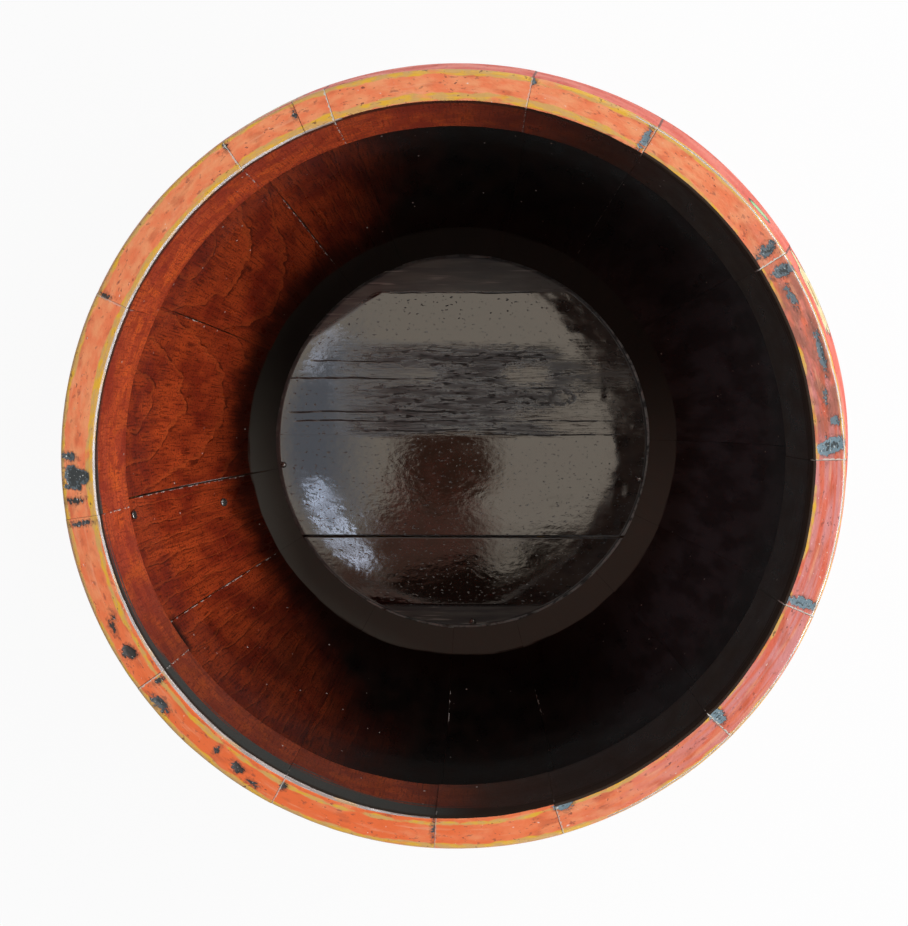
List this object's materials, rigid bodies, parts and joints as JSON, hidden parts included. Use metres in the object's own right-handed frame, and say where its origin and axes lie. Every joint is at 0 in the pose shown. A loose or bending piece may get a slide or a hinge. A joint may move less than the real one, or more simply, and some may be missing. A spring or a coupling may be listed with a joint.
{
  "type": "rice bucket",
  "caption": "Round lacquered rice bucket with a swelling coopered body, a straight lip inside its open mouth, a boarded floor and iron hoops.",
  "frame": {"origin": "middle of the plane that the foot stands on, on the bucket's axis", "axes": "+Z up along the bucket's axis, the floor boards run along X, and +Y is up in the picture's view into the mouth"},
  "size_m": [0.3358, 0.3358, 0.24],
  "materials": {
    "red_lacquer": "worn red lacquer over wood, glossy inside",
    "dark_lacquer": "glossy brown-black lacquer over planed boards",
    "bamboo": "split bamboo, uncoated",
    "black_iron": "hammered strip, blackened",
    "iron_nail": "hand-made iron, worn bright on the heads"
  },
  "bodies": {
    "root": {"stave_01": "red_lacquer", "stave_02": "red_lacquer", "stave_03": "red_lacquer", "stave_04": "red_lacquer", "stave_05": "red_lacquer", "stave_06": "red_lacquer", "stave_07": "red_lacquer", "stave_08": "red_lacquer", "stave_09": "red_lacquer", "stave_10": "red_lacquer", "stave_11": "red_lacquer", "stave_12": "red_lacquer", "stave_13": "red_lacquer", "stave_14": "red_lacquer", "stave_15": "red_lacquer", "stave_pin_01": "bamboo", "stave_pin_02": "bamboo", "stave_pin_03": "bamboo", "stave_pin_04": "bamboo", "stave_pin_05": "bamboo", "stave_pin_06": "bamboo", "stave_pin_07": "bamboo", "stave_pin_08": "bamboo", "stave_pin_09": "bamboo", "stave_pin_10": "bamboo", "stave_pin_11": "bamboo", "stave_pin_12": "bamboo", "stave_pin_13": "bamboo", "stave_pin_14": "bamboo", "stave_pin_15": "bamboo", "floor_board_1": "dark_lacquer", "floor_board_2": "dark_lacquer", "floor_board_3": "dark_lacquer", "floor_board_4": "dark_lacquer", "floor_pin_1": "bamboo", "floor_pin_2": "bamboo", "floor_pin_3": "bamboo", "floor_pin_4": "bamboo", "floor_pin_5": "bamboo", "floor_pin_6": "bamboo", "floor_tack_1": "iron_nail", "floor_tack_2": "iron_nail", "floor_tack_3": "iron_nail", "wall_nail_1": "iron_nail", "wall_nail_2": "iron_nail", "foot_hoop": "black_iron", "foot_hoop_rivet_1": "black_iron", "foot_hoop_rivet_2": "black_iron", "belly_hoop": "black_iron", "belly_hoop_rivet_1": "black_iron", "belly_hoop_rivet_2": "black_iron"}
  },
  "joints": []
}
